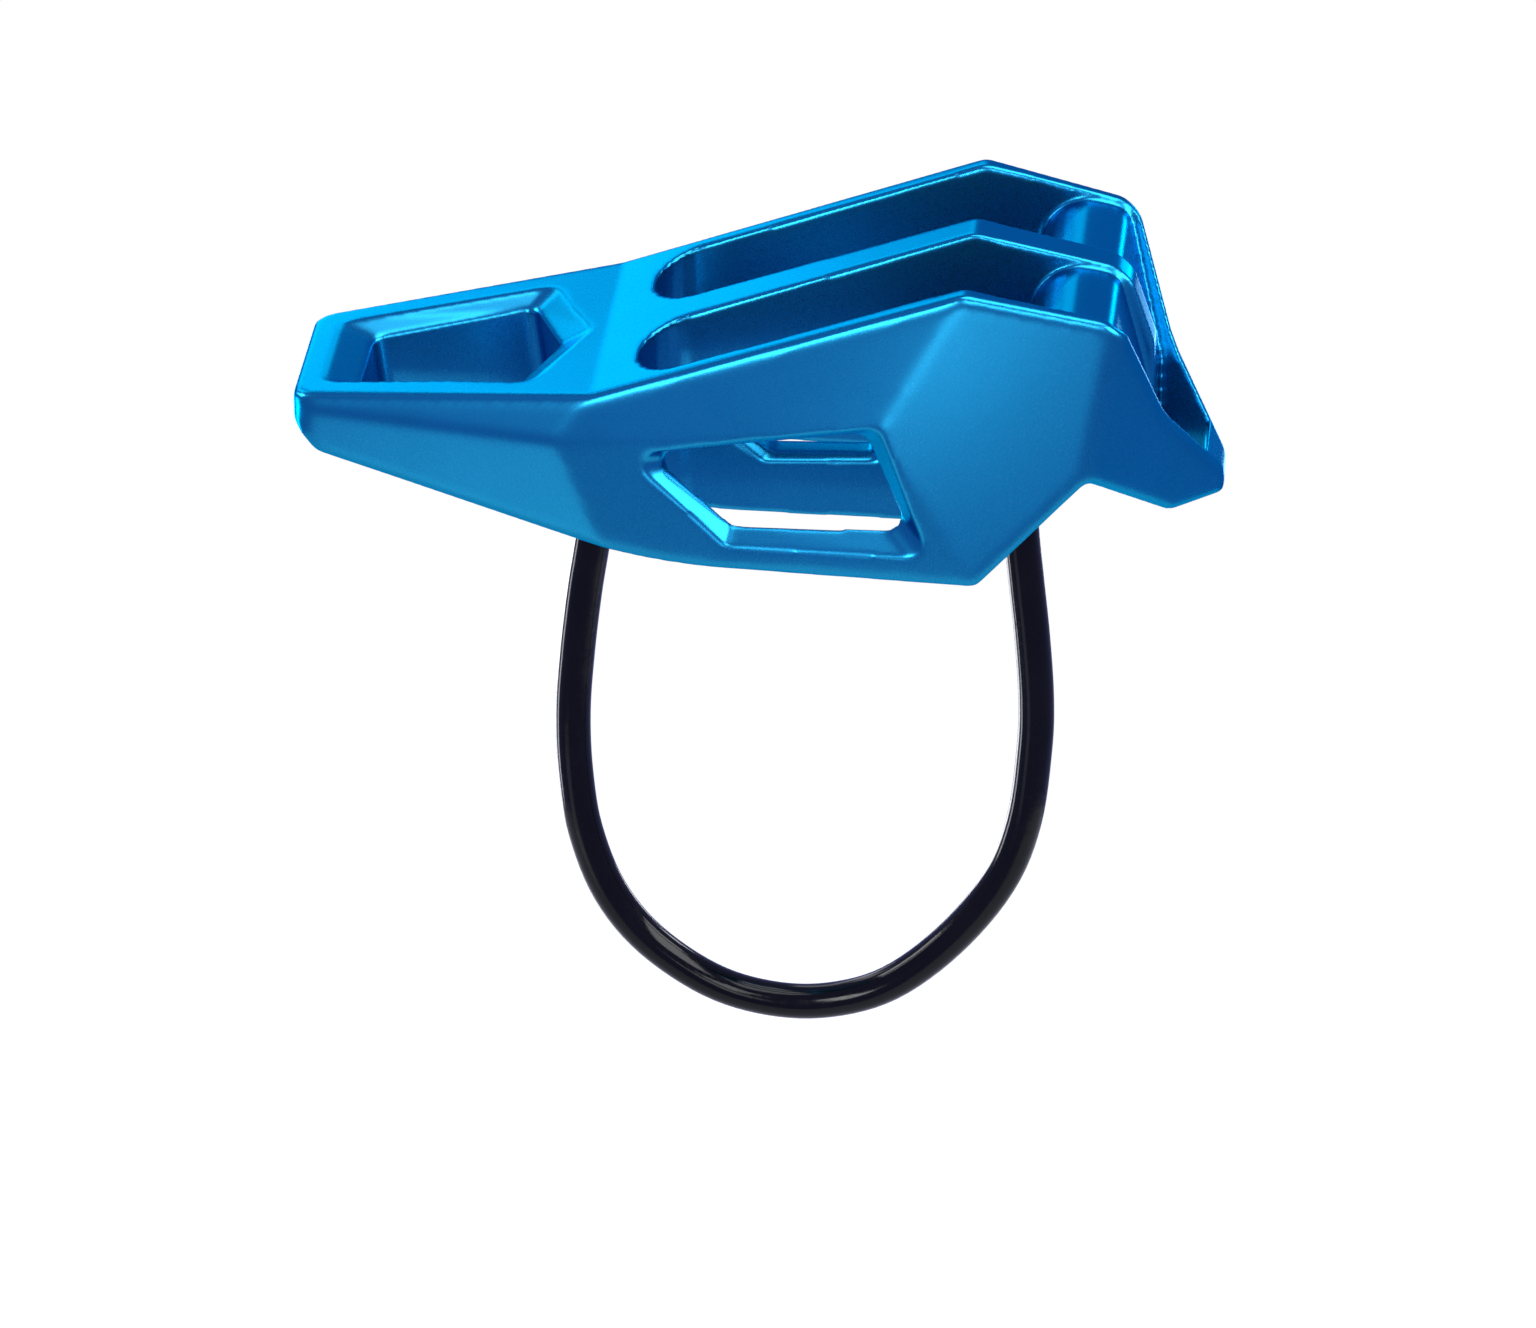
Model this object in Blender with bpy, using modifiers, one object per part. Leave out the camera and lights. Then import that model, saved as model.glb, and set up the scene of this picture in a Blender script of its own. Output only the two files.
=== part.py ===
"""Guide mode belay device: a one-piece forged aluminium body with a sprung keeper cable loop.

Blender works in metres with +Z up. The drawing's zero is the crest of the saddle on the mid-plane: X runs
from the anchor eye to the nose, Y across the three ribs and Z up. Places and sizes below are millimetres in
that drawing. Every piece hangs from the frame empty, which puts the scene's origin at the middle of the
anchor eye.
"""

import math

import bmesh
import bpy
from mathutils import Vector

MM = 0.001

# Side outline of the body, (x, z)
EYE_END_TOP = (-31.1, -4.2)
SADDLE_CREST = (0.0, 0.0)
RIB_PEAK = (37.4, 12.8)
RIB_CORNER = (53.0, 9.4)
RIB_FOOT = (57.3, -3.3)
NOSE_TOP = (63.1, -12.2)
NOSE_TIP_FOOT = (63.1, -14.9)
NOSE_HEEL = (57.7, -14.9)
NOTCH = (49.8, -8.0)
BELLY_FRONT = (38.9, -19.6)
BELLY_REAR = (7.9, -18.8)
EYE_END_BOTTOM = (-31.1, -10.1)
# Each corner with its radius and the steps of its arc, in order round the body
SIDE_OUTLINE = (
    (EYE_END_TOP, 0.0, 0),
    (SADDLE_CREST, 0.0, 0),
    (RIB_PEAK, 0.0, 0),
    (RIB_CORNER, 2.5, 1),
    (RIB_FOOT, 8.0, 1),
    (NOSE_TOP, 0.0, 0),
    (NOSE_TIP_FOOT, 0.0, 0),
    (NOSE_HEEL, 0.0, 0),
    (NOTCH, 0.0, 0),
    (BELLY_FRONT, 0.0, 0),
    (BELLY_REAR, 60.0, 4),
    (EYE_END_BOTTOM, 3.0, 1),
)
BLANK_HALF_WIDTH = 25.0

# Flanks: places as (x, half width, z)
EYE_CORNER = (EYE_END_TOP[0], 9.8, EYE_END_TOP[1])
SADDLE_EDGE = (SADDLE_CREST[0], 16.8, SADDLE_CREST[1])
PEAK_EDGE = (RIB_PEAK[0], 17.6, RIB_PEAK[1])
CORNER_EDGE = (RIB_CORNER[0], 16.1, RIB_CORNER[1])
NOSE_EDGE = (62.3, 3.6, -11.8)
BELT_REAR = (-3.4, 17.0, -5.0)
BELT_FRONT = (29.2, 18.2, -2.2)
BELLY_REAR_EDGE = (1.8, 16.2, -17.8)
BELT_DROP = 1.2
# Flat across each upright corner of the eye end: its turn from the end face in degrees and its depth
EYE_END_TURN = 39.0
EYE_END_FLAT = 0.75
EDGE_ROUND = 0.9
ROUND_ANGLE = 25.0
SHARP_ANGLE = 30.0

# Rope slots, one each side of the middle rib
SLOT_REAR = 4.2
SLOT_END_LENGTH = 4.6
SLOT_INNER_REAR = 2.6
SLOT_INNER_FRONT = 2.0
SLOT_OUTER_REAR = 14.8
SLOT_OUTER_MIDDLE = 15.2
SLOT_OUTER_FRONT = 14.6
SLOT_MIDDLE = 41.0
SLOT_FRONT = 51.0
SLOT_END_STEPS = 12
SLOT_PAST_NOSE = 70.0
SLOT_ABOVE = 30.0
SLOT_BELOW = -40.0
PAST_CUTTER = 5.0

# Front web that the rope bends over: its outline as (x, z) between the slots and the nose
WEB_FOOT = (41.8, -26.0)
WEB_REAR = (43.7, 10.7)
WEB_FRONT = (52.1, 8.9)
WEB_FACE_FOOT = (55.8, -4.9)
WEB_REAR_ROUND = 5.0
WEB_FRONT_ROUND = 2.2

# Release hole through the nose
RELEASE_REAR = 55.8
RELEASE_FRONT = 61.2
NOSE_WALL = 1.3
RELEASE_SIDE = 12.0

# Window through all three ribs: its corners as (x, half width, z), from the flank's rim to the middle rib
WINDOW_RIM = ((3.0, 17.4, -6.1), (13.5, 17.4, -17.1), (34.55, 17.4, -16.6), (28.7, 17.4, -2.15))
WINDOW_SILL = ((5.07, 15.8, -6.35), (14.2, 15.1, -14.45), (31.9, 15.1, -14.15), (27.5, 15.1, -3.7))
WINDOW_CORE = ((12.6, 1.3, -9.0), (16.9, 1.3, -12.6), (27.7, 1.3, -12.3), (25.8, 1.3, -6.6))
WINDOW_RADII = (1.5, 1.0, 1.6, 1.5)
WINDOW_CORE_RADII = (0.8, 0.6, 0.8, 0.8)
WINDOW_OUTSIDE = 20.0
# The middle rib's sharp edges are chamfered: half width at its faces, and the core's growth towards the sill
CORE_CHAMFER_WIDTH = 2.7
CORE_CHAMFER_SHARE = 0.36

# Anchor eye: rim and hole, corners as (x, y) on the top face
EYE_RIM = ((-28.2, 7.2), (-6.3, 11.7), (-1.4, 0.0))
EYE_HOLE = ((-24.7, 5.9), (-8.6, 9.9), (-4.9, 0.0))
EYE_BEVEL_DEPTH = 1.5
EYE_ABOVE = 2.0
EYE_THROUGH = 20.0
EYE_CORNER_ROUND = 1.4
EYE_MIDDLE = (-16.0, -6.6)

# Keeper cable: a wire core in a plastic sleeve, whose ends stand in blind holes
SLEEVE_DIAMETER = 3.7
SLEEVE_BORE = 2.1
WIRE_DIAMETER = 1.5
BORE_OVERRUN = 1.0
HOLE_DIAMETER = 4.3
FERRULE_DIAMETER = 3.7
FERRULE_LENGTH = 3.6
# How far below a ferrule's top its socket and the wire in it end
SOCKET_END = 0.7
WIRE_END = 1.0
REAR_HOLE_X = -0.6
FRONT_HOLE_X = 42.2
REAR_HOLE_TOP = -6.4
FRONT_HOLE_TOP = -5.4
CLEARANCE = 0.3
BOSS_DIAMETER = 7.8
BOSS_TOP = -3.6
REAR_SLEEVE_TOP = REAR_HOLE_TOP - CLEARANCE - FERRULE_LENGTH - CLEARANCE
FRONT_SLEEVE_TOP = FRONT_HOLE_TOP - CLEARANCE - FERRULE_LENGTH - CLEARANCE
# The loop's route from the rear hole to the front hole, (x, z)
KEEPER_ROUTE = (
    (REAR_HOLE_X, REAR_SLEEVE_TOP),
    (REAR_HOLE_X, -14.0),
    (-0.9, -19.0),
    (-1.7, -24.6),
    (-2.5, -29.8),
    (-3.3, -36.7),
    (-3.8, -43.7),
    (-3.6, -50.6),
    (-2.6, -57.6),
    (-0.1, -64.6),
    (4.1, -70.2),
    (10.4, -74.7),
    (16.7, -76.6),
    (23.0, -76.5),
    (29.3, -74.2),
    (35.5, -68.8),
    (40.6, -61.7),
    (43.1, -54.5),
    (44.1, -46.0),
    (44.2, -40.0),
    (43.7, -33.0),
    (43.0, -26.5),
    (42.4, -20.5),
    (FRONT_HOLE_X, -14.5),
    (FRONT_HOLE_X, FRONT_SLEEVE_TOP),
)
ROUTE_STEPS = 2


def place(x, y, z):
    """A place of the drawing, in metres."""
    return Vector((x, y, z)) * MM


def material(name, colour, roughness, metallic):
    """A Principled BSDF with one colour."""
    made = bpy.data.materials.new(name)
    made.use_nodes = True
    shader = made.node_tree.nodes["Principled BSDF"]
    shader.inputs["Base Color"].default_value = (*colour, 1.0)
    shader.inputs["Roughness"].default_value = roughness
    shader.inputs["Metallic"].default_value = metallic
    made.diffuse_color = (*colour, 1.0)
    return made


def add_object(name, mesh, collection, parent, finish=None):
    """An object of a mesh, in its collection and under its parent."""
    made = bpy.data.objects.new(name, mesh)
    collection.objects.link(made)
    made.parent = parent
    if finish:
        mesh.materials.append(finish)
    return made


def mesh_from(build, name):
    """The mesh of a bmesh, with its faces pointing out."""
    bmesh.ops.recalc_face_normals(build, faces=build.faces)
    mesh = bpy.data.meshes.new(name)
    build.to_mesh(mesh)
    build.free()
    return mesh


def round_corner(before, corner, after, radius, steps):
    """Points of the arc that rounds a corner of a flat outline."""
    before, corner, after = Vector(before), Vector(corner), Vector(after)
    to_before = (before - corner).normalized()
    to_after = (after - corner).normalized()
    half = to_before.angle(to_after) / 2
    centre = corner + (to_before + to_after).normalized() * radius / math.sin(half)
    start = corner + to_before * radius / math.tan(half) - centre
    turn = start.angle_signed(corner + to_after * radius / math.tan(half) - centre)
    points = []
    for i in range(steps + 1):
        angle = -turn * i / steps
        c, s = math.cos(angle), math.sin(angle)
        points.append((centre.x + c * start.x - s * start.y, centre.y + s * start.x + c * start.y))
    return points


def round_outline(corners, radii, steps):
    """A closed outline with each corner rounded to its radius, or left sharp where that is zero."""
    points = []
    count = len(corners)
    for i, corner in enumerate(corners):
        if radii[i]:
            points += round_corner(corners[i - 1], corner, corners[(i + 1) % count], radii[i], steps[i])
        else:
            points.append(tuple(corner))
    return points


def plate(name, outline, bottom, top, upright=False):
    """A flat outline made solid: from bottom to top along Z, or along Y where it stands upright."""
    curve = bpy.data.curves.new(name, "CURVE")
    curve.dimensions = "2D"
    curve.fill_mode = "BOTH"
    curve.extrude = (top - bottom) / 2 * MM
    spline = curve.splines.new("POLY")
    spline.points.add(len(outline) - 1)
    for point, (u, v) in zip(spline.points, outline):
        point.co = (u * MM, v * MM, 0.0, 1.0)
    spline.use_cyclic_u = True
    guide = bpy.data.objects.new(name, curve)
    bpy.context.scene.collection.objects.link(guide)
    bpy.context.view_layer.update()
    mesh = bpy.data.meshes.new_from_object(guide.evaluated_get(bpy.context.evaluated_depsgraph_get()))
    bpy.data.objects.remove(guide)
    build = bmesh.new()
    build.from_mesh(mesh)
    bpy.data.meshes.remove(mesh)
    bmesh.ops.remove_doubles(build, verts=build.verts, dist=0.001 * MM)
    bmesh.ops.dissolve_limit(build, angle_limit=math.radians(0.5), verts=build.verts, edges=build.edges)
    middle = (bottom + top) / 2 * MM
    for vert in build.verts:
        x, y, z = vert.co
        vert.co = (x, -z - middle, y) if upright else (x, y, z + middle)
    return mesh_from(build, name)


def facet_plane(places, side):
    """The plane of a flank facet on one side, as a point and a normal that points out."""
    a, b, c = (place(x, side * width, z) for x, width, z in places)
    normal = (b - a).cross(c - a).normalized()
    if normal.y * side < 0:
        normal.negate()
    return a, normal


def on_facet(places, x, z):
    """The place of a flank facet's plane at x and z, as (x, half width, z)."""
    point, normal = facet_plane(places, 1)
    width = (point - place(x, 0.0, z)).dot(normal) / normal.y / MM
    return x, width, z


def flank_facets():
    """Each facet of a flank as three places of its plane. The ridges end at corners of the side outline."""
    upper_tail = (EYE_CORNER, SADDLE_EDGE, BELT_REAR)
    belt_start = on_facet(upper_tail, EYE_END_TOP[0], EYE_END_TOP[1] - BELT_DROP)
    lower_tail = (belt_start, BELT_REAR, BELLY_REAR_EDGE)
    shoulder = (SADDLE_EDGE, PEAK_EDGE, BELT_FRONT)
    cheek = (PEAK_EDGE, CORNER_EDGE, BELT_FRONT)
    belly = (BELT_REAR, BELT_FRONT, on_facet(cheek, *BELLY_FRONT))
    return upper_tail, lower_tail, shoulder, cheek, belly, nose_facet()


def nose_facet():
    """The facet that tapers the nose, from the cheek's front ridge."""
    cheek = (PEAK_EDGE, CORNER_EDGE, BELT_FRONT)
    return CORNER_EDGE, on_facet(cheek, *NOTCH), NOSE_EDGE


def shave(build, point, normal):
    """Cut away all that lies beyond a plane and close the cut."""
    everything = build.verts[:] + build.edges[:] + build.faces[:]
    bmesh.ops.bisect_plane(
        build, geom=everything, dist=0.0001 * MM, plane_co=point, plane_no=normal, clear_outer=True
    )
    bmesh.ops.holes_fill(build, edges=[edge for edge in build.edges if edge.is_boundary])
    bmesh.ops.recalc_face_normals(build, faces=build.faces)


def loft(name, sections):
    """A closed skin through sections of the same number of points, with flat ends."""
    build = bmesh.new()
    rings = [[build.verts.new(point) for point in section] for section in sections]
    for lower, upper in zip(rings, rings[1:]):
        count = len(lower)
        for i in range(count):
            build.faces.new((lower[i], lower[(i + 1) % count], upper[(i + 1) % count], upper[i]))
    build.faces.new(rings[0])
    build.faces.new(rings[-1])
    return mesh_from(build, name)


def cylinder(name, diameter, x, bottom, top, segments=24):
    """An upright round rod on the mid-plane."""
    build = bmesh.new()
    bmesh.ops.create_cone(
        build,
        cap_ends=True,
        segments=segments,
        radius1=diameter / 2 * MM,
        radius2=diameter / 2 * MM,
        depth=(top - bottom) * MM,
    )
    bmesh.ops.translate(build, verts=build.verts, vec=place(x, 0.0, (bottom + top) / 2))
    return mesh_from(build, name)


def boolean(target, cutter, operation="DIFFERENCE"):
    """Cut, join or intersect an object with another."""
    cut = target.modifiers.new(cutter.name, "BOOLEAN")
    cut.operation = operation
    cut.solver = "EXACT"
    cut.object = cutter


def eye_end_plane(side):
    """The upright flat across a corner of the eye end."""
    angle = math.radians(EYE_END_TURN)
    normal = Vector((-math.cos(angle), side * math.sin(angle), 0.0))
    return place(EYE_CORNER[0], side * EYE_CORNER[1], 0.0) - normal * EYE_END_FLAT * MM, normal


def body_blank():
    """The outer form of the body: the side outline, shaved to the flank facets on both sides."""
    outline = round_outline(*zip(*SIDE_OUTLINE))
    mesh = plate("body_blank", outline, -BLANK_HALF_WIDTH, BLANK_HALF_WIDTH, upright=True)
    build = bmesh.new()
    build.from_mesh(mesh)
    bpy.data.meshes.remove(mesh)
    for side in (-1, 1):
        planes = [facet_plane(places, side) for places in flank_facets()]
        for point, normal in planes + [eye_end_plane(side)]:
            shave(build, point, normal)
    bmesh.ops.dissolve_limit(build, angle_limit=math.radians(0.5), verts=build.verts, edges=build.edges)
    return mesh_from(build, "tube_body")


def slot_plan(side):
    """The plan outline of one rope slot: a rounded rear end and sides that follow the flank's taper."""
    middle = (SLOT_INNER_REAR + SLOT_OUTER_REAR) / 2
    half = (SLOT_OUTER_REAR - SLOT_INNER_REAR) / 2
    points = []
    for i in range(SLOT_END_STEPS + 1):
        angle = math.pi * i / SLOT_END_STEPS
        x = SLOT_REAR + SLOT_END_LENGTH * (1 - math.sin(angle))
        points.append((x, side * (middle - half * math.cos(angle))))
    points += [
        (SLOT_MIDDLE, side * SLOT_OUTER_MIDDLE),
        (SLOT_FRONT, side * SLOT_OUTER_FRONT),
        (SLOT_PAST_NOSE, side * SLOT_OUTER_FRONT),
        (SLOT_PAST_NOSE, side * SLOT_INNER_FRONT),
        (SLOT_FRONT, side * SLOT_INNER_FRONT),
    ]
    return points


def slot_cutter(name, side, cutters, frame, web, boss):
    """One rope slot with the friction channel over the web, inside the nose's walls."""
    build = bmesh.new()
    mesh = plate(name, slot_plan(side), SLOT_BELOW, SLOT_ABOVE)
    build.from_mesh(mesh)
    bpy.data.meshes.remove(mesh)
    point, normal = facet_plane(nose_facet(), side)
    shave(build, point - normal * NOSE_WALL * MM, normal)
    cutter = add_object(name, mesh_from(build, name), cutters, frame)
    boolean(cutter, web)
    boolean(cutter, boss)
    return cutter


def web_mesh():
    """The front web between the slots and the nose, wider than the body, with a round crown."""
    far_front = SLOT_PAST_NOSE + PAST_CUTTER
    below = SLOT_BELOW - PAST_CUTTER
    corners = (
        WEB_FOOT,
        WEB_REAR,
        WEB_FRONT,
        WEB_FACE_FOOT,
        (far_front, WEB_FACE_FOOT[1]),
        (far_front, below),
        (WEB_FOOT[0], below),
    )
    radii = (0.0, WEB_REAR_ROUND, WEB_FRONT_ROUND, 0.0, 0.0, 0.0, 0.0)
    outline = round_outline(corners, radii, [7] * len(corners))
    return plate("web", outline, -BLANK_HALF_WIDTH, BLANK_HALF_WIDTH, upright=True)


def release_mesh():
    """The release hole: a three-sided opening that follows the nose's walls."""
    outline = (
        (RELEASE_REAR, -RELEASE_SIDE),
        (RELEASE_FRONT, -RELEASE_SIDE),
        (RELEASE_FRONT, RELEASE_SIDE),
        (RELEASE_REAR, RELEASE_SIDE),
    )
    mesh = plate("release_hole", outline, SLOT_BELOW, SLOT_ABOVE)
    build = bmesh.new()
    build.from_mesh(mesh)
    bpy.data.meshes.remove(mesh)
    for side in (-1, 1):
        point, normal = facet_plane(nose_facet(), side)
        shave(build, point - normal * NOSE_WALL * MM, normal)
    return mesh_from(build, "release_hole")


def between(low, high, share):
    """Places a share of the way from each place of one outline to the same place of another."""
    return [tuple(a + (b - a) * share for a, b in zip(start, end)) for start, end in zip(low, high)]


def window_ring(corners, radii, side):
    """One section of the window on one side: a rounded outline whose corners each have their half width."""
    points = []
    for i, (x, width, z) in enumerate(corners):
        before = corners[i - 1][::2]
        after = corners[(i + 1) % len(corners)][::2]
        for arc_x, arc_z in round_corner(before, (x, z), after, radii[i], 4):
            points.append(place(arc_x, side * width, arc_z))
    return points


def window_mesh():
    """The window: it narrows from both flanks to the middle rib."""
    outside = []
    for sill, rim in zip(WINDOW_SILL, WINDOW_RIM):
        reach = (WINDOW_OUTSIDE - sill[1]) / (rim[1] - sill[1])
        outside += between([sill], [rim], reach)
    chamfer = [
        (x, CORE_CHAMFER_WIDTH, z) for x, width, z in between(WINDOW_CORE, WINDOW_SILL, CORE_CHAMFER_SHARE)
    ]
    half = (
        (outside, WINDOW_RADII),
        (WINDOW_SILL, WINDOW_RADII),
        (chamfer, WINDOW_CORE_RADII),
        (WINDOW_CORE, WINDOW_CORE_RADII),
    )
    near = [window_ring(corners, radii, -1) for corners, radii in half]
    far = [window_ring(corners, radii, 1) for corners, radii in half]
    return loft("window", near + far[::-1])


def eye_ring(half_corners, radius, depth):
    """One section of the anchor eye, laid on the sloping top face and sunk by a depth."""
    slope = math.atan2(SADDLE_CREST[1] - EYE_END_TOP[1], SADDLE_CREST[0] - EYE_END_TOP[0])
    rear, front, point = half_corners
    corners = (rear, front, point, (front[0], -front[1]), (rear[0], -rear[1]))
    outline = round_outline(corners, [radius] * 5, [4] * 5)
    ring = []
    for u, v in outline:
        along = u / math.cos(slope)
        ring.append(place(
            along * math.cos(slope) + depth * math.sin(slope),
            v,
            along * math.sin(slope) - depth * math.cos(slope),
        ))
    return ring


def eye_mesh():
    """The anchor eye: a wide bevel round a through hole, pointed towards the saddle."""
    grow = EYE_ABOVE / EYE_BEVEL_DEPTH
    flared = []
    for (rim_x, rim_y), (hole_x, hole_y) in zip(EYE_RIM, EYE_HOLE):
        flared.append((rim_x + (rim_x - hole_x) * grow, rim_y + (rim_y - hole_y) * grow))
    return loft("anchor_eye", (
        eye_ring(flared, EYE_CORNER_ROUND + 1.0, -EYE_ABOVE),
        eye_ring(EYE_HOLE, EYE_CORNER_ROUND, EYE_BEVEL_DEPTH),
        eye_ring(EYE_HOLE, EYE_CORNER_ROUND, EYE_THROUGH),
    ))


def smooth_route(points, steps):
    """Points of a Catmull-Rom curve through the route's own points, all on the mid-plane."""
    ends = [points[0]] + list(points) + [points[-1]]
    smooth = []
    for p0, p1, p2, p3 in zip(ends, ends[1:], ends[2:], ends[3:]):
        for i in range(steps):
            t = i / steps
            smooth.append(tuple(
                b + (c - a) * t / 2
                + (2 * a - 5 * b + 4 * c - d) * t ** 2 / 2
                + (3 * b - a - 3 * c + d) * t ** 3 / 2
                for a, b, c, d in zip(p0, p1, p2, p3)
            ))
    smooth.append(points[-1])
    return [place(x, 0.0, z) for x, z in smooth]


def rod_along(name, points, diameter, resolution):
    """A round rod along points, as a mesh with welded caps."""
    curve = bpy.data.curves.new(name, "CURVE")
    curve.dimensions = "3D"
    curve.bevel_depth = diameter / 2 * MM
    curve.bevel_resolution = resolution
    curve.use_fill_caps = True
    spline = curve.splines.new("POLY")
    spline.points.add(len(points) - 1)
    for point, co in zip(spline.points, points):
        point.co = (*co, 1.0)
    guide = bpy.data.objects.new(name, curve)
    bpy.context.scene.collection.objects.link(guide)
    bpy.context.view_layer.update()
    mesh = bpy.data.meshes.new_from_object(guide.evaluated_get(bpy.context.evaluated_depsgraph_get()))
    bpy.data.objects.remove(guide)
    build = bmesh.new()
    build.from_mesh(mesh)
    bpy.data.meshes.remove(mesh)
    bmesh.ops.remove_doubles(build, verts=build.verts, dist=0.001 * MM)
    return mesh_from(build, name)


def make_body(parts, cutters, frame, finish):
    """The forged body with every opening cut."""
    body = add_object("tube_body", body_blank(), parts, frame, finish)
    edges = body.modifiers.new("outer_edges", "BEVEL")
    edges.width = EDGE_ROUND * MM
    edges.segments = 2
    edges.limit_method = "ANGLE"
    edges.angle_limit = math.radians(ROUND_ANGLE)
    web = add_object("web", web_mesh(), cutters, frame)
    boss_mesh = cylinder("keeper_boss", BOSS_DIAMETER, FRONT_HOLE_X, SLOT_BELOW - PAST_CUTTER, BOSS_TOP)
    boss = add_object("keeper_boss", boss_mesh, cutters, frame)
    for name, side in (("near_slot", -1), ("far_slot", 1)):
        boolean(body, slot_cutter(name, side, cutters, frame, web, boss))
    openings = {
        "release_hole": release_mesh(),
        "window": window_mesh(),
        "anchor_eye": eye_mesh(),
        "rear_hole": cylinder("rear_hole", HOLE_DIAMETER, REAR_HOLE_X, SLOT_BELOW, REAR_HOLE_TOP),
        "front_hole": cylinder("front_hole", HOLE_DIAMETER, FRONT_HOLE_X, SLOT_BELOW, FRONT_HOLE_TOP),
    }
    for name, mesh in openings.items():
        boolean(body, add_object(name, mesh, cutters, frame))
    return body


def make_sleeve(route, parts, cutters, frame, plastic):
    """The plastic sleeve of the keeper loop, bored for the wire."""
    sleeve_mesh = rod_along("keeper_sleeve", route, SLEEVE_DIAMETER, 2)
    sleeve = add_object("keeper_sleeve", sleeve_mesh, parts, frame, plastic)
    past_rear = place(REAR_HOLE_X, 0.0, REAR_SLEEVE_TOP + BORE_OVERRUN)
    past_front = place(FRONT_HOLE_X, 0.0, FRONT_SLEEVE_TOP + BORE_OVERRUN)
    bore_mesh = rod_along("sleeve_bore", [past_rear] + route[1:-1] + [past_front], SLEEVE_BORE, 1)
    boolean(sleeve, add_object("sleeve_bore", bore_mesh, cutters, frame))


def make_wire(route, parts, frame, steel):
    """The wire core of the keeper loop, from ferrule to ferrule."""
    rear = place(REAR_HOLE_X, 0.0, REAR_HOLE_TOP - CLEARANCE - WIRE_END)
    front = place(FRONT_HOLE_X, 0.0, FRONT_HOLE_TOP - CLEARANCE - WIRE_END)
    wire_mesh = rod_along("keeper_wire", [rear] + route[1:-1] + [front], WIRE_DIAMETER, 1)
    add_object("keeper_wire", wire_mesh, parts, frame, steel)


def make_ferrule(name, x, hole_top, parts, cutters, frame, steel):
    """The end stop on the wire in one of the blind holes."""
    top = hole_top - CLEARANCE
    ferrule_mesh = cylinder(name, FERRULE_DIAMETER, x, top - FERRULE_LENGTH, top)
    ferrule = add_object(name, ferrule_mesh, parts, frame, steel)
    socket_name = name + "_socket"
    socket_foot = top - FERRULE_LENGTH - BORE_OVERRUN
    socket_mesh = cylinder(socket_name, SLEEVE_BORE, x, socket_foot, top - SOCKET_END, 16)
    boolean(ferrule, add_object(socket_name, socket_mesh, cutters, frame))


def main():
    for old in list(bpy.data.objects):
        bpy.data.objects.remove(old)
    parts = bpy.data.collections.new("guide_mode_belay_device")
    cutters = bpy.data.collections.new("cutters")
    for collection in (parts, cutters):
        bpy.context.scene.collection.children.link(collection)
    frame = bpy.data.objects.new("frame", None)
    frame.location = place(-EYE_MIDDLE[0], 0.0, -EYE_MIDDLE[1])
    parts.objects.link(frame)
    anodised = material("blue_anodised_aluminium", (0.012, 0.22, 0.65), 0.3, 1.0)
    plastic = material("black_plastic", (0.008, 0.008, 0.009), 0.25, 0.0)
    steel = material("steel_wire", (0.5, 0.5, 0.5), 0.35, 1.0)
    make_body(parts, cutters, frame, anodised)
    route = smooth_route(KEEPER_ROUTE, ROUTE_STEPS)
    make_sleeve(route, parts, cutters, frame, plastic)
    make_wire(route, parts, frame, steel)
    make_ferrule("rear_ferrule", REAR_HOLE_X, REAR_HOLE_TOP, parts, cutters, frame, steel)
    make_ferrule("front_ferrule", FRONT_HOLE_X, FRONT_HOLE_TOP, parts, cutters, frame, steel)
    for cutter in cutters.objects:
        cutter.hide_render = True
        cutter.display_type = "WIRE"
    for piece in parts.objects:
        if piece.type == "MESH":
            piece.data.shade_smooth()
            piece.data.set_sharp_from_angle(angle=math.radians(SHARP_ANGLE))


main()
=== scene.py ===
"""Guide mode belay device: finished surfaces, materials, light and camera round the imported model."""

import math

import bmesh
import bpy
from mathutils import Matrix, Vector
from mathutils.geometry import intersect_point_quad_2d


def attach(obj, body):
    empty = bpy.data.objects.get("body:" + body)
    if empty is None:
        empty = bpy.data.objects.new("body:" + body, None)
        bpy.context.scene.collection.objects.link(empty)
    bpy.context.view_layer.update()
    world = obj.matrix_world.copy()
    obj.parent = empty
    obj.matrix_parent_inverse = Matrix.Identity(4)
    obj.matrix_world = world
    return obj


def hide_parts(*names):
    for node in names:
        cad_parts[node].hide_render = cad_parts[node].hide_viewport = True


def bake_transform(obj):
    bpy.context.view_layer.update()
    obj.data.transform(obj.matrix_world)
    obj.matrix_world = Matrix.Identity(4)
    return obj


MM = 0.001
WHITE = (1.0, 1.0, 1.0)

# Camera: places in metres, angles in degrees, lens in millimetres
CAMERA_TARGET = (0.03247, 0.0, -0.03085)
CAMERA_DISTANCE = 1.0
CAMERA_YAW = 5.05
CAMERA_PITCH = 26.5
CAMERA_LENS = 227.3
CAMERA_NEAR = 0.01
CAMERA_FAR = 50.0

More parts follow.
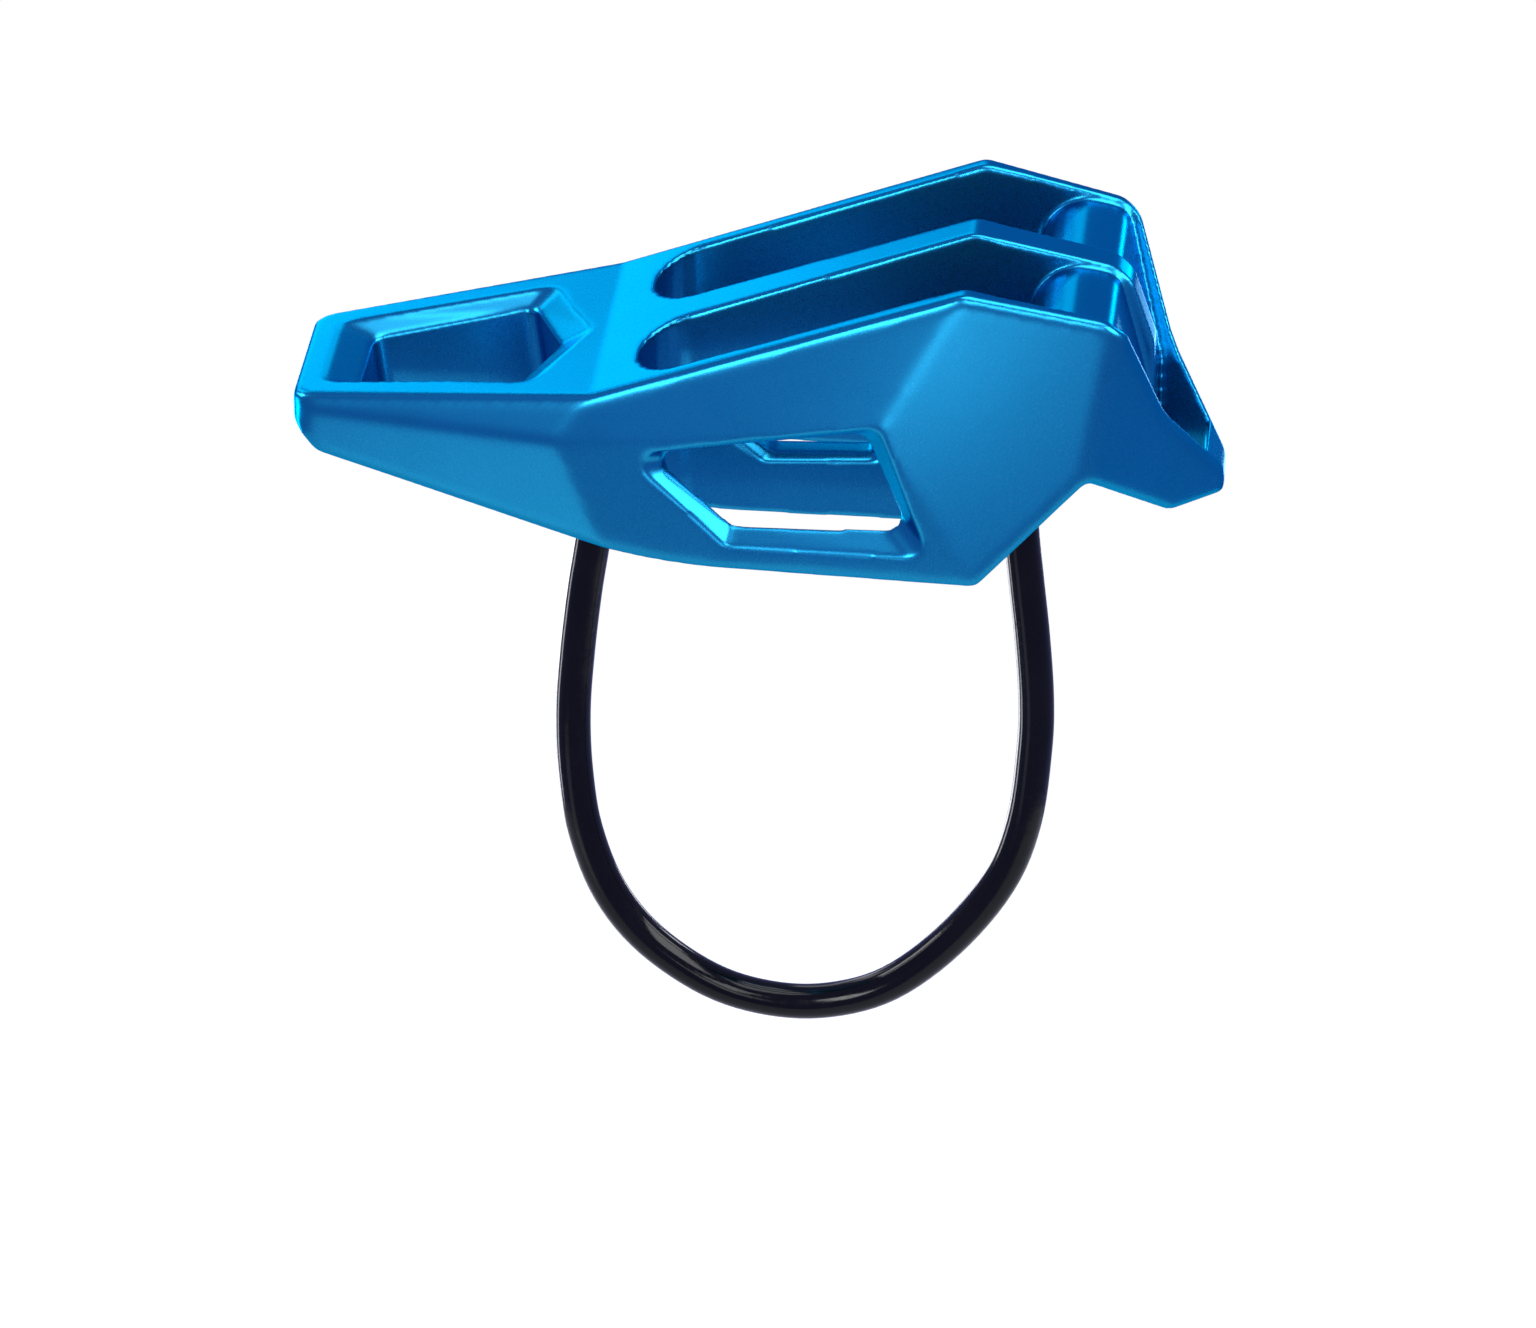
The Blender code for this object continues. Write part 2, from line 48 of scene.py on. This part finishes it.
# Keeper loop, in millimetres: x and z of its centreline, which lies on the mid-plane
KEEPER_ROUTE = (
    (15.4, -4.0),
    (15.4, -7.4),
    (15.1, -12.4),
    (14.3, -18.0),
    (13.5, -23.2),
    (12.7, -30.1),
    (12.2, -37.1),
    (12.4, -44.0),
    (13.4, -51.0),
    (15.9, -58.0),
    (20.1, -63.6),
    (26.4, -68.1),
    (32.7, -70.0),
    (39.0, -69.9),
    (45.3, -67.6),
    (51.5, -62.2),
    (56.6, -55.1),
    (59.1, -47.9),
    (60.1, -39.4),
    (60.2, -33.4),
    (59.7, -26.4),
    (59.0, -19.9),
    (58.4, -13.9),
    (58.2, -7.9),
    (58.2, -3.0),
)
SLEEVE_DIAMETER = 3.7
CORE_DIAMETER = 1.5
# Pieces of the smooth centreline between two points of the route
ROUTE_STEPS = 6
# A rod's round section has four sides, and two more for each step of roundness
SLEEVE_ROUNDNESS = 6
CORE_ROUNDNESS = 2
# Points of a rod that lie closer than this become one
WELD = 0.001

# Finished body: size of its faces in millimetres, and how often its flanks' ridges and then all of it
# are smoothed
VOXEL = 0.24
RIDGE_PASSES = 52
EDGE_PASSES = 18
# The flanks lie further than this from the mid-plane, in millimetres
FLANK_INSIDE = 5.0
# Sideways part of the normal at which a face starts to count as flank, and at which it counts in full
FLANK_FACING = (0.62, 0.8)
# Outside of the window's bevel in side view, as x and z in millimetres: it keeps its crisp rim
WINDOW = ((17.4, 1.9), (28.4, -11.7), (52.2, -11.1), (45.7, 5.8))

# Anodised aluminium: its oxide's colours, and the depth of its grain and tumbling in millimetres
OXIDE_DARK = (0.014, 0.29, 0.49)
OXIDE_PALE = (0.016, 0.31, 0.53)
OXIDE_GRAZING = (0.22, 0.7, 1.0)
OXIDE_ROUGHNESS = (0.27, 0.29)
OXIDE_RELIEF = 0.0006

# Keeper plastic
PLASTIC_DARK = (0.0015, 0.0015, 0.0015)
PLASTIC_PALE = (0.003, 0.003, 0.003)
PLASTIC_ROUGHNESS = (0.08, 0.2)
PLASTIC_SPECULAR = 0.24
PLASTIC_RELIEF = 0.02

# Keeper steel, with marks twenty times as long as they are wide
STEEL_DARK = (0.42, 0.42, 0.43)
STEEL_PALE = (0.58, 0.58, 0.58)
STEEL_ROUGHNESS = (0.28, 0.42)
STEEL_STRETCH = (1.0, 1.0, 0.05)
STEEL_RELIEF = 0.005

# Floor, in metres: it fades out from this share of its radius on
FLOOR_Z = -0.20
FLOOR_RADIUS = 0.26
FLOOR_FADE = 0.92
FLOOR_SIDES = 96
FLOOR_COLOUR = (0.6, 0.6, 0.6)
FLOOR_ROUGHNESS = 0.9
# Brightness that the camera alone sees on top of the floor's own
FLOOR_GLOW = 0.5

# Dim room that the object reflects, and the point that the lamps face
ROOM_COLOUR = (0.38, 0.42, 1.0)
ROOM_LEVEL = 0.52
LIT_POINT = (0.032, 0.0, -0.005)
# Each softbox as seen from that point: azimuth and elevation in degrees, distance, width and height in
# metres, and its level, where 1 is as bright as white
SOFTBOXES = (
    ("tail_low", -41.4, -39.4, 0.222, 0.07, 0.05, 0.6),
    ("cheek_side", 8.5, -13.0, 0.18, 0.04, 0.034, 3.0),
    ("front_left_high", -18.0, 14.0, 0.50, 0.09, 0.20, 10.0),
    ("front_right_high", 16.0, 20.0, 0.50, 0.12, 0.18, 5.0),
    ("right", 74.0, 28.0, 0.45, 0.50, 0.18, 5.5),
    ("channel_back", 149.0, 5.0, 0.32, 0.045, 0.05, 7.0),
    ("channel_low", 161.0, -20.0, 0.30, 0.05, 0.05, 6.0),
    ("back_left_low", -147.0, -25.0, 0.60, 0.30, 0.20, 4.0),
    ("back_left", -156.0, 10.0, 0.45, 0.11, 0.17, 2.5),
    ("back_high", -166.0, 30.0, 0.50, 0.16, 0.14, 1.7),
    ("left", -97.0, 24.0, 0.45, 0.18, 0.20, 7.0),
    ("left_low", -107.0, -24.0, 0.50, 0.10, 0.20, 6.0),
    ("high_left", -138.0, 28.0, 0.45, 0.14, 0.14, 2.2),
    ("overhead", 62.0, 74.0, 0.50, 0.42, 0.36, 3.6),
)


def direction(azimuth, elevation):
    """The way out from the object, in degrees: azimuth 0 faces the near flank and 90 faces the nose."""
    turn = math.radians(azimuth)
    rise = math.radians(elevation)
    return Vector((math.sin(turn) * math.cos(rise), -math.cos(turn) * math.cos(rise), math.sin(rise)))


def add_object(name, data):
    """Put a new object into the scene."""
    obj = bpy.data.objects.new(name, data)
    bpy.context.scene.collection.objects.link(obj)
    return obj


def coat(mesh, finish):
    """Give a mesh one finish and no other."""
    mesh.materials.clear()
    mesh.materials.append(finish)


def add_mesh(name, mesh, finish):
    """Put a new object with one finish into the scene."""
    coat(mesh, finish)
    return add_object(name, mesh)


def aim(obj, target):
    """Turn a lamp or a camera to a point."""
    obj.rotation_euler = (Vector(target) - obj.location).to_track_quat("-Z", "Y").to_euler()


def make_camera():
    """The camera at the photograph's place."""
    data = bpy.data.cameras.new("camera")
    data.lens = CAMERA_LENS
    data.clip_start = CAMERA_NEAR
    data.clip_end = CAMERA_FAR
    camera = add_object("camera", data)
    camera.location = Vector(CAMERA_TARGET) + direction(CAMERA_YAW, CAMERA_PITCH) * CAMERA_DISTANCE
    aim(camera, CAMERA_TARGET)
    bpy.context.scene.camera = camera


def smooth_route(points, steps):
    """Points of a Catmull-Rom curve through the route's own points, all on the mid-plane."""
    ends = [points[0]] + list(points) + [points[-1]]
    smooth = []
    for p0, p1, p2, p3 in zip(ends, ends[1:], ends[2:], ends[3:]):
        for i in range(steps):
            t = i / steps
            smooth.append(tuple(
                b + (c - a) * t / 2
                + (2 * a - 5 * b + 4 * c - d) * t ** 2 / 2
                + (3 * b - a - 3 * c + d) * t ** 3 / 2
                for a, b, c, d in zip(p0, p1, p2, p3)
            ))
    smooth.append(points[-1])
    return [Vector((x * MM, 0.0, z * MM)) for x, z in smooth]


def evaluated_mesh(obj):
    """The mesh of an object with its modifiers applied."""
    bpy.context.view_layer.update()
    return bpy.data.meshes.new_from_object(obj.evaluated_get(bpy.context.evaluated_depsgraph_get()))


def apply_modifiers(obj):
    """Keep what an object's modifiers make of its mesh."""
    mesh = evaluated_mesh(obj)
    obj.modifiers.clear()
    obj.vertex_groups.clear()
    obj.data = mesh
    return mesh


def rod_mesh(name, points, diameter, roundness):
    """A round rod along points, as one closed mesh."""
    curve = bpy.data.curves.new(name, "CURVE")
    curve.dimensions = "3D"
    curve.bevel_depth = diameter / 2 * MM
    curve.bevel_resolution = roundness
    curve.use_fill_caps = True
    spline = curve.splines.new("POLY")
    spline.points.add(len(points) - 1)
    for point, place in zip(spline.points, points):
        point.co = (*place, 1.0)
    guide = add_object(name, curve)
    mesh = evaluated_mesh(guide)
    bpy.data.objects.remove(guide)
    build = bmesh.new()
    build.from_mesh(mesh)
    bmesh.ops.remove_doubles(build, verts=build.verts, dist=WELD * MM)
    bmesh.ops.recalc_face_normals(build, faces=build.faces)
    build.to_mesh(mesh)
    build.free()
    mesh.shade_smooth()
    return mesh


def make_keeper(plastic, steel):
    """The keeper loop: its sleeve and the wire core, which bend from the cable holes down."""
    route = smooth_route(KEEPER_ROUTE, ROUTE_STEPS)
    core_mesh = rod_mesh("keeper_core", route, CORE_DIAMETER, CORE_ROUNDNESS)
    core = add_mesh("keeper_core", core_mesh, steel)
    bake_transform(core)
    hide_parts("keeper_wire")
    cable_mesh = rod_mesh("keeper_cable", route, SLEEVE_DIAMETER, SLEEVE_ROUNDNESS)
    cable = add_mesh("keeper_cable", cable_mesh, plastic)
    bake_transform(cable)
    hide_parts("keeper_sleeve")


def flank_share(vert):
    """How far a point of the body belongs to the flanks, whose ridges are soft, from 0 to 1."""
    x, y, z = vert.co / MM
    if abs(y) < FLANK_INSIDE or intersect_point_quad_2d((x, z), *WINDOW):
        return 0.0
    facing = vert.normal.y * math.copysign(1.0, y)
    low, high = FLANK_FACING
    share = max(0.0, min(1.0, (facing - low) / (high - low)))
    return share * share * (3 - 2 * share)


def make_body(node, finish):
    """The forged body with a fine surface: flat facets, rounded edges and softer flank ridges."""
    body = add_mesh("finished_body", node.data.copy(), finish)
    remesh = body.modifiers.new("even_faces", "REMESH")
    remesh.mode = "VOXEL"
    remesh.voxel_size = VOXEL * MM
    wrap = body.modifiers.new("true_surface", "SHRINKWRAP")
    wrap.target = node
    wrap.wrap_method = "NEAREST_SURFACEPOINT"
    fine = apply_modifiers(body)
    flank = body.vertex_groups.new(name="flank")
    for vert in fine.vertices:
        flank.add([vert.index], flank_share(vert), "REPLACE")
    ridges = body.modifiers.new("soft_ridges", "SMOOTH")
    ridges.iterations = RIDGE_PASSES
    ridges.vertex_group = flank.name
    edges = body.modifiers.new("round_edges", "SMOOTH")
    edges.iterations = EDGE_PASSES
    apply_modifiers(body).shade_smooth()
    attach(body, "device")
    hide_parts("tube_body")


class Nodes:
    """A new material and the nodes that feed its shader."""

    def __init__(self, name):
        self.material = bpy.data.materials.new(name)
        self.material.use_nodes = True
        self.tree = self.material.node_tree
        self.shader = self.tree.nodes["Principled BSDF"]
        self.place = self.add("TexCoord").outputs["Object"]

    def add(self, kind, **values):
        """A new node of a kind, with its settings."""
        node = self.tree.nodes.new("ShaderNode" + kind)
        for key, value in values.items():
            setattr(node, key, value)
        return node

    def join(self, output, socket):
        """Lead an output into a socket."""
        self.tree.links.new(output, socket)

    def even(self, name, value):
        """Set a socket of the shader to a value that is the same all over the surface."""
        self.shader.inputs[name].default_value = value

    def feed(self, name, output):
        """Lead an output into a socket of the shader."""
        self.join(output, self.shader.inputs[name])

    def noise(self, scale, detail, roughness, place=None):
        """Noise over the object or another place, with its scale in features to the metre."""
        node = self.add("TexNoise")
        node.inputs["Scale"].default_value = scale
        node.inputs["Detail"].default_value = detail
        node.inputs["Roughness"].default_value = roughness
        self.join(place or self.place, node.inputs["Vector"])
        return node.outputs["Fac"]

    def spread(self, value, old, new):
        """A value between two old limits, carried over to two new ones."""
        node = self.add("MapRange")
        for name, limit in zip(("From Min", "From Max", "To Min", "To Max"), (*old, *new)):
            node.inputs[name].default_value = limit
        self.join(value, node.inputs["Value"])
        return node.outputs["Result"]

    def ramp(self, value, *stops):
        """Colours along a value, from two (place, colour) stops."""
        node = self.add("ValToRGB")
        for element, (place, colour) in zip(node.color_ramp.elements, stops):
            element.position = place
            element.color = (*colour, 1.0)
        self.join(value, node.inputs["Fac"])
        return node.outputs["Color"]

    def bump(self, height, depth, below=None):
        """Relief of a depth in millimetres, on top of the relief below it."""
        node = self.add("Bump")
        node.inputs["Distance"].default_value = depth * MM
        self.join(height, node.inputs["Height"])
        if below:
            self.join(below, node.inputs["Normal"])
        return node.outputs["Normal"]


def anodised_material():
    """Satin blue anodised aluminium: tumbled metal with a fine grain under its coloured oxide."""
    nodes = Nodes("blue_anodised_aluminium")
    nodes.even("Metallic", 1.0)
    nodes.even("Specular Tint", (*OXIDE_GRAZING, 1.0))
    cloud = nodes.noise(scale=60.0, detail=3.0, roughness=0.5)
    grain = nodes.noise(scale=5200.0, detail=2.0, roughness=0.6)
    tumble = nodes.noise(scale=700.0, detail=2.0, roughness=0.5)
    nodes.feed("Base Color", nodes.ramp(cloud, (0.35, OXIDE_DARK), (0.65, OXIDE_PALE)))
    nodes.feed("Roughness", nodes.spread(grain, (0.3, 0.7), OXIDE_ROUGHNESS))
    nodes.feed("Normal", nodes.bump(tumble, OXIDE_RELIEF, below=nodes.bump(grain, OXIDE_RELIEF)))
    return nodes.material


def plastic_material():
    """Glossy black extruded plastic, faintly uneven and scuffed."""
    nodes = Nodes("black_keeper_plastic")
    nodes.even("Specular IOR Level", PLASTIC_SPECULAR)
    cloud = nodes.noise(scale=90.0, detail=3.0, roughness=0.5)
    scuff = nodes.noise(scale=1400.0, detail=4.0, roughness=0.65)
    ripple = nodes.noise(scale=450.0, detail=2.0, roughness=0.5)
    nodes.feed("Base Color", nodes.ramp(cloud, (0.3, PLASTIC_DARK), (0.7, PLASTIC_PALE)))
    nodes.feed("Roughness", nodes.spread(scuff, (0.35, 0.75), PLASTIC_ROUGHNESS))
    nodes.feed("Normal", nodes.bump(ripple, PLASTIC_RELIEF))
    return nodes.material


def steel_material():
    """Plain drawn steel with fine upright marks."""
    nodes = Nodes("keeper_steel")
    nodes.even("Metallic", 1.0)
    stretch = nodes.add("Mapping")
    stretch.inputs["Scale"].default_value = STEEL_STRETCH
    nodes.join(nodes.place, stretch.inputs["Vector"])
    marks = nodes.noise(scale=4000.0, detail=3.0, roughness=0.6, place=stretch.outputs["Vector"])
    nodes.feed("Base Color", nodes.ramp(marks, (0.3, STEEL_DARK), (0.7, STEEL_PALE)))
    nodes.feed("Roughness", nodes.spread(marks, (0.3, 0.7), STEEL_ROUGHNESS))
    nodes.feed("Normal", nodes.bump(marks, STEEL_RELIEF))
    return nodes.material


def floor_material():
    """Pale matt floor, lifted towards white for the camera and clear towards its rim."""
    nodes = Nodes("pale_floor")
    nodes.even("Base Color", (*FLOOR_COLOUR, 1.0))
    nodes.even("Roughness", FLOOR_ROUGHNESS)
    lift = nodes.add("Math", operation="MULTIPLY")
    lift.inputs[1].default_value = FLOOR_GLOW
    nodes.join(nodes.add("LightPath").outputs["Is Camera Ray"], lift.inputs[0])
    glow = nodes.add("Emission")
    nodes.join(lift.outputs[0], glow.inputs["Strength"])
    lit = nodes.add("AddShader")
    nodes.join(nodes.shader.outputs[0], lit.inputs[0])
    nodes.join(glow.outputs[0], lit.inputs[1])
    reach = nodes.add("VectorMath", operation="LENGTH")
    nodes.join(nodes.place, reach.inputs[0])
    rim = (FLOOR_RADIUS * FLOOR_FADE, FLOOR_RADIUS)
    edge = nodes.add("MixShader")
    nodes.join(nodes.spread(reach.outputs["Value"], rim, (0.0, 1.0)), edge.inputs["Fac"])
    nodes.join(lit.outputs[0], edge.inputs[1])
    nodes.join(nodes.add("BsdfTransparent").outputs[0], edge.inputs[2])
    nodes.join(edge.outputs[0], nodes.tree.nodes["Material Output"].inputs["Surface"])
    return nodes.material


def make_floor():
    """A round floor that keeps the object's shadow and fades into the white round it."""
    mesh = bpy.data.meshes.new("floor")
    build = bmesh.new()
    bmesh.ops.create_circle(build, cap_ends=True, segments=FLOOR_SIDES, radius=FLOOR_RADIUS)
    build.to_mesh(mesh)
    build.free()
    floor = add_mesh("floor", mesh, floor_material())
    floor.location = (LIT_POINT[0], LIT_POINT[1], FLOOR_Z)


def background(tree, colour, level):
    """A plain world of one colour and brightness."""
    node = tree.nodes.new("ShaderNodeBackground")
    node.inputs["Color"].default_value = (*colour, 1.0)
    node.inputs["Strength"].default_value = level
    return node.outputs["Background"]


def make_room():
    """A dim blue room that lights the object, and white where the camera looks past it."""
    world = bpy.data.worlds.new("studio")
    bpy.context.scene.world = world
    world.use_nodes = True
    tree = world.node_tree
    tree.nodes.clear()
    path = tree.nodes.new("ShaderNodeLightPath")
    pick = tree.nodes.new("ShaderNodeMixShader")
    tree.links.new(path.outputs["Is Camera Ray"], pick.inputs["Fac"])
    tree.links.new(background(tree, ROOM_COLOUR, ROOM_LEVEL), pick.inputs[1])
    tree.links.new(background(tree, WHITE, 1.0), pick.inputs[2])
    tree.links.new(pick.outputs[0], tree.nodes.new("ShaderNodeOutputWorld").inputs["Surface"])


def make_softbox(name, azimuth, elevation, distance, width, height, level):
    """A soft lamp that the camera doesn't see, as one row of the softboxes gives it."""
    data = bpy.data.lights.new(name, "AREA")
    data.shape = "RECTANGLE"
    data.size = width
    data.size_y = height
    # A lamp of this power is as bright as white, times its level
    data.energy = level * math.pi * width * height
    lamp = add_object(name, data)
    lamp.location = Vector(LIT_POINT) + direction(azimuth, elevation) * distance
    lamp.visible_camera = False
    aim(lamp, LIT_POINT)


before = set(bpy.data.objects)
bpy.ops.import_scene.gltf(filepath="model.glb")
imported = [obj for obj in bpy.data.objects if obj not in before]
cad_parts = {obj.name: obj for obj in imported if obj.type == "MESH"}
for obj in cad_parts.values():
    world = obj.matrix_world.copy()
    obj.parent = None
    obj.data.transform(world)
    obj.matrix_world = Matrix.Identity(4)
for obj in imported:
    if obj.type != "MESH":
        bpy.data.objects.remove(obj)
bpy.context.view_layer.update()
make_camera()
plastic = plastic_material()
steel = steel_material()
make_keeper(plastic, steel)
make_body(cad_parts["tube_body"], anodised_material())
for ferrule in ("rear_ferrule", "front_ferrule"):
    coat(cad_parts[ferrule].data, steel)
make_floor()
make_room()
for softbox in SOFTBOXES:
    make_softbox(*softbox)
bpy.context.scene.view_settings.view_transform = "Standard"
